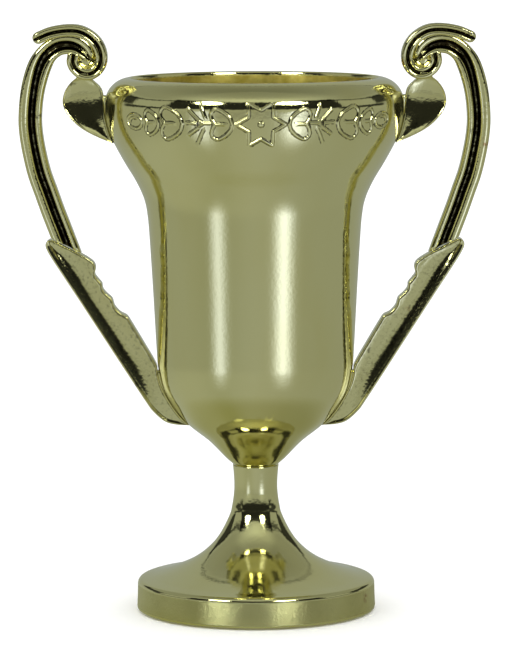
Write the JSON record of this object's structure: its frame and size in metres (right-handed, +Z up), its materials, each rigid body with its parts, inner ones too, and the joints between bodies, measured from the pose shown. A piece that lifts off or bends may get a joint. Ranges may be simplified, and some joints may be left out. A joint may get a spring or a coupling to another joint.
{
  "type": "cup trophy",
  "caption": "Small award cup: a tapered bowl with a rolled lip and raised frieze on a flared round foot, with a tall scrolled handle on each side.",
  "frame": {"origin": "centre of the foot's underside, on the surface that the cup stands on", "axes": "+Z up along the cup's turning axis, +X through both handles, -Y towards the viewer of the front"},
  "size_m": [0.0956, 0.0608, 0.1195],
  "materials": {
    "plated_bowl": "pale gold mirror plating on moulded plastic",
    "plated_pedestal": "pale gold mirror plating on moulded plastic",
    "plated_left_handle": "pale gold mirror plating on moulded plastic",
    "plated_right_handle": "pale gold mirror plating on moulded plastic",
    "tie_rod": "zinc plated",
    "upper_nut": "zinc plated",
    "upper_washer": "zinc plated",
    "lower_nut": "zinc plated",
    "lower_washer": "zinc plated",
    "left_upper_screw": "zinc plated",
    "left_lower_screw": "zinc plated",
    "right_upper_screw": "zinc plated",
    "right_lower_screw": "zinc plated",
    "left_upper_washer": "zinc plated",
    "left_lower_washer": "zinc plated",
    "right_upper_washer": "zinc plated",
    "right_lower_washer": "zinc plated"
  },
  "bodies": {
    "root": {"bowl": "plated_bowl", "pedestal": "plated_pedestal", "left_handle": "plated_left_handle", "right_handle": "plated_right_handle", "tie_rod": "tie_rod", "upper_nut": "upper_nut", "upper_washer": "upper_washer", "lower_nut": "lower_nut", "lower_washer": "lower_washer", "left_upper_screw": "left_upper_screw", "left_lower_screw": "left_lower_screw", "right_upper_screw": "right_upper_screw", "right_lower_screw": "right_lower_screw", "left_upper_washer": "left_upper_washer", "left_lower_washer": "left_lower_washer", "right_upper_washer": "right_upper_washer", "right_lower_washer": "right_lower_washer"}
  },
  "joints": []
}
